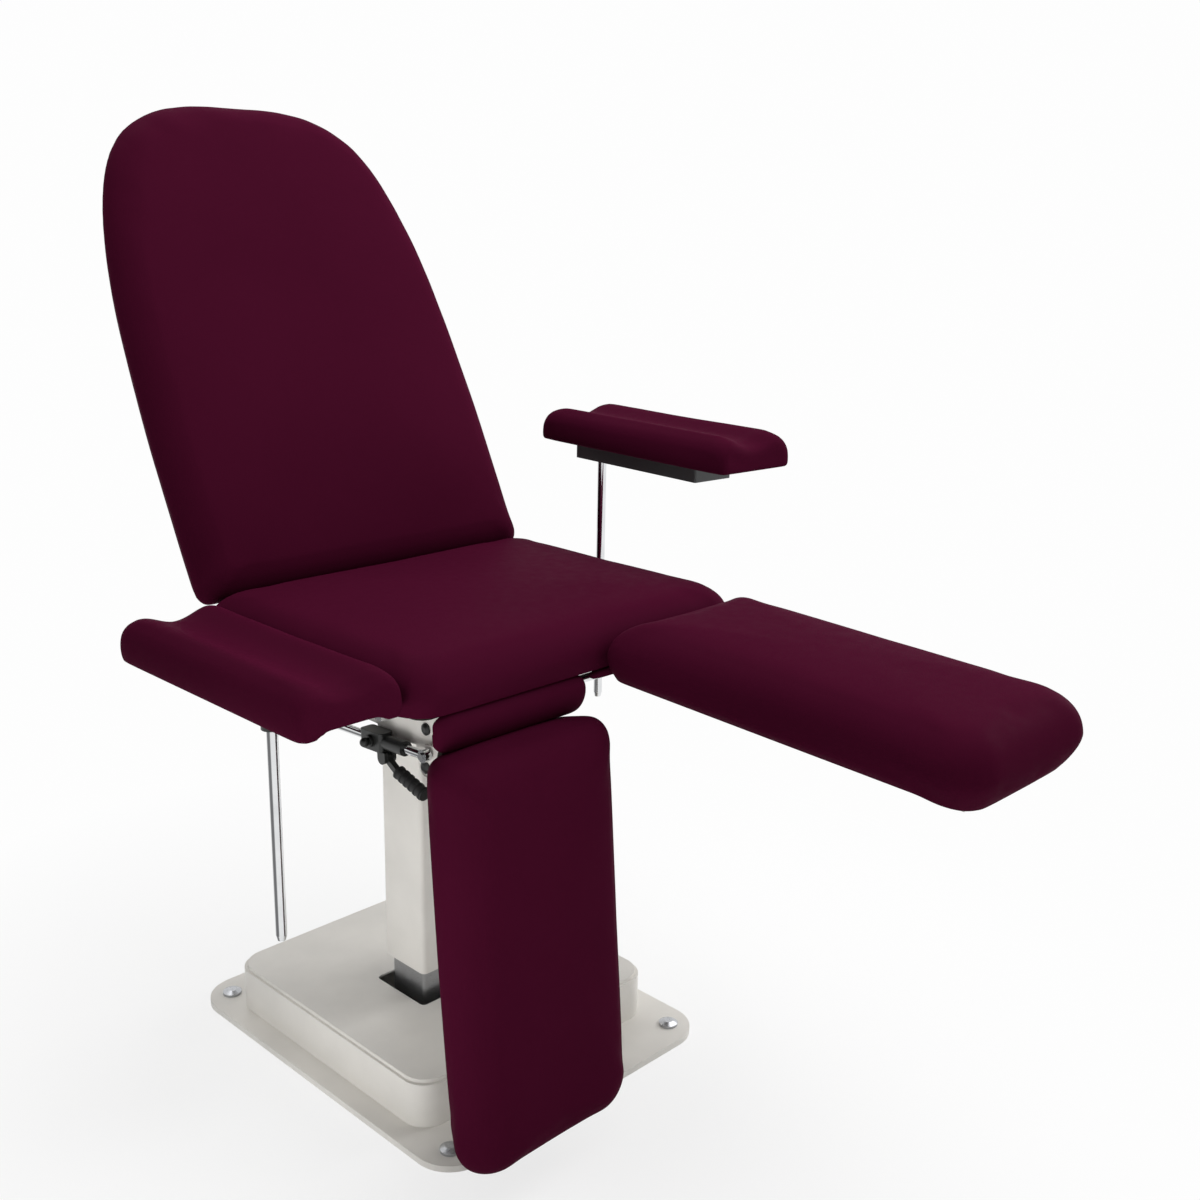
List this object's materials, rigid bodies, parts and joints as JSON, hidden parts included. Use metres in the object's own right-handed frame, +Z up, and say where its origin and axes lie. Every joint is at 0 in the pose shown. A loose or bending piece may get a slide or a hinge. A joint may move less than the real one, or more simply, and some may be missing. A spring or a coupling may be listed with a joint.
{
  "type": "beauty treatment chair",
  "caption": "Treatment chair on a lifting column: reclining back, leg rests that fold on rod locks, and gutter armrests that slide, lift and swivel.",
  "frame": {"origin": "on the floor under the centre of the column", "axes": "+Z up, -Y the way the sitter faces, +X to the sitter's left"},
  "size_m": [0.9394, 1.4639, 1.4266],
  "materials": {
    "vinyl": "satin burgundy vinyl",
    "white_steel": "satin white powder coat",
    "zinc": "zinc plated",
    "black_plastic": "moulded",
    "black_steel": "satin black",
    "chrome": "polished",
    "board": "dark stained plywood",
    "grip_rubber": "ribbed",
    "charcoal": "satin charcoal"
  },
  "bodies": {
    "base": {"base_plate": "white_steel", "base_cover": "white_steel", "levelling_screws": "zinc", "power_inlet": "black_plastic", "mast": "zinc", "mast_guides": "black_plastic", "lift_actuator": "black_steel"},
    "lift": {"lift_rod": "chrome", "column_sleeve": "white_steel", "column_bracket": "white_steel", "head_plate": "white_steel", "cross_tubes": "white_steel", "right_side_plate": "white_steel", "left_side_plate": "white_steel", "leg_pivot_shaft": "chrome", "frame_bolts": "black_steel", "seat_board": "board", "seat_pad": "vinyl", "back_hinge_pins": "zinc", "right_guide_bar": "chrome", "left_guide_bar": "chrome"},
    "backrest": {"back_frame": "white_steel", "back_board": "board", "back_pad": "vinyl"},
    "back_actuator": {"back_actuator_body": "black_steel"},
    "back_rod": {"back_actuator_rod": "chrome"},
    "right_leg": {"right_leg_frame": "white_steel", "right_leg_board": "board", "right_leg_pad": "vinyl", "right_knee_roll": "vinyl", "right_lock_bracket": "white_steel"},
    "right_lock": {"right_lock_body": "black_steel", "right_lock_cap": "black_steel"},
    "right_lock_rod": {"right_lock_rod": "chrome"},
    "right_lock_lever": {"right_lock_lever": "black_steel", "right_lock_grip": "grip_rubber"},
    "right_arm_slider": {"right_slider": "black_steel"},
    "right_slider_knob": {"right_slider_knob": "black_plastic"},
    "right_arm_post": {"right_post": "chrome", "right_post_head": "zinc"},
    "right_post_knob": {"right_post_knob": "black_plastic"},
    "right_armrest": {"right_tray": "charcoal", "right_arm_pad": "vinyl"},
    "left_leg": {"left_leg_frame": "white_steel", "left_leg_board": "board", "left_leg_pad": "vinyl", "left_knee_roll": "vinyl", "left_lock_bracket": "white_steel"},
    "left_lock": {"left_lock_body": "black_steel", "left_lock_cap": "black_steel"},
    "left_lock_rod": {"left_lock_rod": "chrome"},
    "left_lock_lever": {"left_lock_lever": "black_steel", "left_lock_grip": "grip_rubber"},
    "left_arm_slider": {"left_slider": "black_steel"},
    "left_slider_knob": {"left_slider_knob": "black_plastic"},
    "left_arm_post": {"left_post": "chrome"},
    "left_post_knob": {"left_post_knob": "black_plastic"},
    "left_arm_head": {"left_post_head": "zinc"},
    "left_armrest": {"left_tray": "charcoal", "left_arm_pad": "vinyl"}
  },
  "joints": [
    {"name": "seat_lift", "type": "slide", "parent": "base", "child": "lift", "axis": [0, 0, 1], "range_m": [0, 0.2]},
    {"name": "backrest_tilt", "type": "hinge", "parent": "lift", "child": "backrest", "pos_m": [0, 0.192, 0.69], "axis": [1, 0, 0], "range_deg": [-63, 0]},
    {"name": "back_actuator_swing", "type": "hinge", "parent": "lift", "child": "back_actuator", "pos_m": [0.12, 0.016, 0.514], "axis": [1, 0, 0], "range_deg": [-13.8, 0.2]},
    {"name": "back_rod_slide", "type": "slide", "parent": "back_actuator", "child": "back_rod", "axis": [0, 0.8669, 0.4985], "range_m": [-0.108, 0.001]},
    {"name": "right_leg_fold", "type": "hinge", "parent": "lift", "child": "right_leg", "pos_m": [0, -0.286, 0.652], "axis": [-1, 0, 0], "range_deg": [0, 85.2], "deforming": ["right_knee_roll"]},
    {"name": "right_lock_swing", "type": "hinge", "parent": "lift", "child": "right_lock", "pos_m": [-0.256, -0.169, 0.6], "axis": [-1, 0, 0], "range_deg": [0, 8.3]},
    {"name": "right_lock_rod_slide", "type": "slide", "parent": "right_lock", "child": "right_lock_rod", "axis": [0, -0.9985, 0.0543], "range_m": [0, 0.065]},
    {"name": "right_lever_squeeze", "type": "hinge", "parent": "right_lock", "child": "right_lock_lever", "pos_m": [-0.256, -0.19011, 0.58012], "axis": [-1, 0, 0], "range_deg": [0, 12], "stiffness_Nm_per_rad": 2, "springref_deg": -8.59},
    {"name": "right_arm_slide", "type": "slide", "parent": "lift", "child": "right_arm_slider", "axis": [0, 1, 0], "range_m": [-0.03, 0.15]},
    {"name": "right_slider_knob_turn", "type": "hinge", "parent": "right_arm_slider", "child": "right_slider_knob", "pos_m": [-0.29, -0.102, 0.648], "axis": [-1, 0, 0], "continuous": true},
    {"name": "right_arm_lift", "type": "slide", "parent": "right_arm_slider", "child": "right_arm_post", "axis": [0, 0, 1], "range_m": [0, 0.2]},
    {"name": "right_post_knob_turn", "type": "hinge", "parent": "right_arm_slider", "child": "right_post_knob", "pos_m": [-0.39, -0.11, 0.648], "axis": [0, 1, 0], "continuous": true},
    {"name": "right_tray_slide", "type": "slide", "parent": "right_arm_post", "child": "right_armrest", "axis": [0, -1, 0], "range_m": [-0.064, 0.176]},
    {"name": "left_leg_fold", "type": "hinge", "parent": "lift", "child": "left_leg", "pos_m": [0, -0.286, 0.652], "axis": [-1, 0, 0], "range_deg": [-83.2, 2]},
    {"name": "left_lock_swing", "type": "hinge", "parent": "lift", "child": "left_lock", "pos_m": [0.256, -0.169, 0.6], "axis": [-1, 0, 0], "range_deg": [-7.8, 0.6]},
    {"name": "left_lock_rod_slide", "type": "slide", "parent": "left_lock", "child": "left_lock_rod", "axis": [0, -0.9826, 0.1855], "range_m": [-0.064, 0.003]},
    {"name": "left_lever_squeeze", "type": "hinge", "parent": "left_lock", "child": "left_lock_lever", "pos_m": [0.256, -0.19255, 0.58307], "axis": [-1, 0, 0], "range_deg": [0, 12], "stiffness_Nm_per_rad": 2, "springref_deg": -8.59},
    {"name": "left_arm_slide", "type": "slide", "parent": "lift", "child": "left_arm_slider", "axis": [0, 1, 0], "range_m": [-0.2, 0.03]},
    {"name": "left_slider_knob_turn", "type": "hinge", "parent": "left_arm_slider", "child": "left_slider_knob", "pos_m": [0.29, 0.082, 0.648], "axis": [1, 0, 0], "continuous": true},
    {"name": "left_arm_lift", "type": "slide", "parent": "left_arm_slider", "child": "left_arm_post", "axis": [0, 0, 1], "range_m": [-0.11, 0.12]},
    {"name": "left_post_knob_turn", "type": "hinge", "parent": "left_arm_slider", "child": "left_post_knob", "pos_m": [0.39, 0.074, 0.648], "axis": [0, 1, 0], "continuous": true},
    {"name": "left_arm_swivel", "type": "hinge", "parent": "left_arm_post", "child": "left_arm_head", "pos_m": [0.39, 0.054, 0.87], "axis": [0, 0, 1], "range_deg": [-45, 60]},
    {"name": "left_tray_slide", "type": "slide", "parent": "left_arm_head", "child": "left_armrest", "axis": [-0.0785, -0.9969, 0], "range_m": [-0.24, 0]}
  ],
  "couplings": [
    {"joint": "back_actuator_swing", "follows": "backrest_tilt", "ratio": 0.21618},
    {"joint": "back_rod_slide", "follows": "backrest_tilt", "m_per_rad": 0.097153},
    {"joint": "right_lock_swing", "follows": "right_leg_fold", "ratio": 0.094609},
    {"joint": "right_lock_rod_slide", "follows": "right_leg_fold", "m_per_rad": 0.043137},
    {"joint": "left_lock_swing", "follows": "left_leg_fold", "ratio": 0.091059},
    {"joint": "left_lock_rod_slide", "follows": "left_leg_fold", "m_per_rad": 0.04348}
  ]
}
